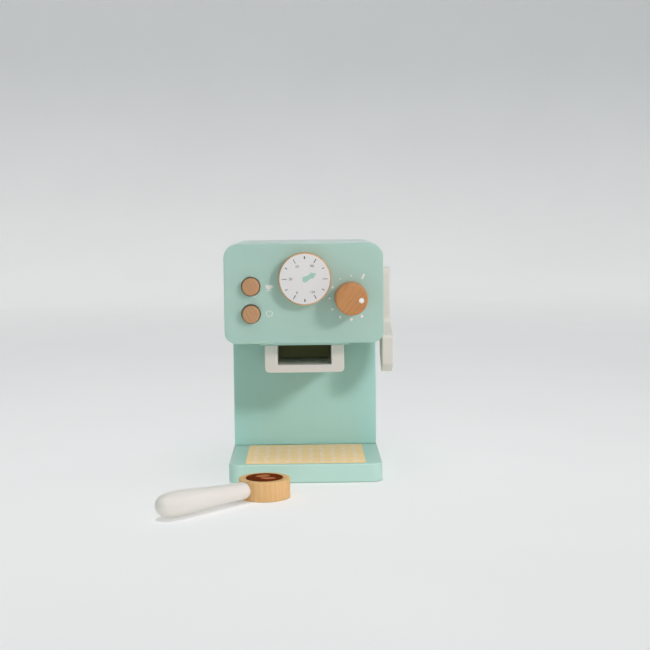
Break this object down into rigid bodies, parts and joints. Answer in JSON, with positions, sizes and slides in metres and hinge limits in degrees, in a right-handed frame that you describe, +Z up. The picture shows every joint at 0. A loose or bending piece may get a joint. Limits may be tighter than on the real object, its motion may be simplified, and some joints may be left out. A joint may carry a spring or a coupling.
{
  "type": "toy coffee maker",
  "caption": "Wooden toy espresso machine with push buttons, turning knob and dial, side lever, under-head filter holder and a loose portafilter.",
  "frame": {"origin": "centre of the base board's underside, on the floor", "axes": "+Z up, +Y towards the machine's back, +X to the right of someone facing the front panel; the loose portafilter lies in front, at -Y"},
  "size_m": [0.2262, 0.3322, 0.2405],
  "materials": {
    "mint_paint": "satin mint paint on board",
    "cream_paint": "satin cream paint on wood",
    "dark_stain": "matt dark stain on board",
    "beech": "bare sanded beech",
    "pale_wood": "bare sanded pale wood",
    "plywood": "bare plywood",
    "coffee_brown": "satin brown paint with a printed bean motif",
    "mat_print": "matt printed sheet",
    "steel": "zinc plated",
    "nylon": "matt"
  },
  "bodies": {
    "machine": {"base_board": "mint_paint", "drip_mat": "mat_print", "base_screw_1": "steel", "base_screw_2": "steel", "base_screw_3": "steel", "base_screw_4": "steel", "column_front_panel": "mint_paint", "column_side_left": "mint_paint", "column_side_right": "mint_paint", "column_back_panel": "mint_paint", "column_back_screw_1": "steel", "column_back_screw_2": "steel", "column_back_screw_3": "steel", "column_back_screw_4": "steel", "head_front_panel": "mint_paint", "head_shell": "mint_paint", "head_back_panel": "mint_paint", "head_back_screw_1": "steel", "head_back_screw_2": "steel", "head_back_screw_3": "steel", "head_back_screw_4": "steel", "holder_flange": "mint_paint", "filter_holder": "cream_paint", "holder_back_stop": "dark_stain", "button_upper_spring": "steel", "button_lower_spring": "steel", "spring_board": "plywood", "spring_post_upper": "pale_wood", "spring_post_side": "pale_wood", "lever_washer": "nylon", "lever_bolt": "steel", "lever_nut": "steel"},
    "dial": {"dial_disc": "beech", "dial_dowel": "pale_wood", "dial_retainer": "plywood", "dial_screw": "steel"},
    "knob": {"knob": "beech", "knob_dowel": "pale_wood", "knob_retainer": "plywood", "knob_screw": "steel"},
    "upper_button": {"button_upper": "beech"},
    "lower_button": {"button_lower": "beech"},
    "lever": {"side_lever": "cream_paint"},
    "portafilter": {"portafilter_head": "pale_wood", "coffee_disc": "coffee_brown", "portafilter_handle": "cream_paint", "handle_dowel": "pale_wood"}
  },
  "joints": [
    {"name": "dial_turn", "type": "hinge", "parent": "machine", "child": "dial", "pos_m": [0.0011, -0.09, 0.2056], "axis": [0, -1, 0], "continuous": true},
    {"name": "knob_turn", "type": "hinge", "parent": "machine", "child": "knob", "pos_m": [0.0467, -0.09, 0.1859], "axis": [0, -1, 0], "continuous": true},
    {"name": "upper_button_press", "type": "slide", "parent": "machine", "child": "upper_button", "axis": [0, 1, 0], "range_m": [0, 0.004], "stiffness_N_per_m": 150, "springref_m": -0.006, "deforming": ["button_upper_spring"]},
    {"name": "lower_button_press", "type": "slide", "parent": "machine", "child": "lower_button", "axis": [0, 1, 0], "range_m": [0, 0.004], "stiffness_N_per_m": 150, "springref_m": -0.006, "deforming": ["button_lower_spring"]},
    {"name": "lever_swing", "type": "hinge", "parent": "machine", "child": "lever", "pos_m": [0.0858, 0.0037, 0.2023], "axis": [1, 0, 0], "range_deg": [-90, 90]},
    {"name": "portafilter_lift", "type": "slide", "parent": "machine", "child": "portafilter", "axis": [0, 0, 1], "range_m": [0, 0.12]}
  ]
}
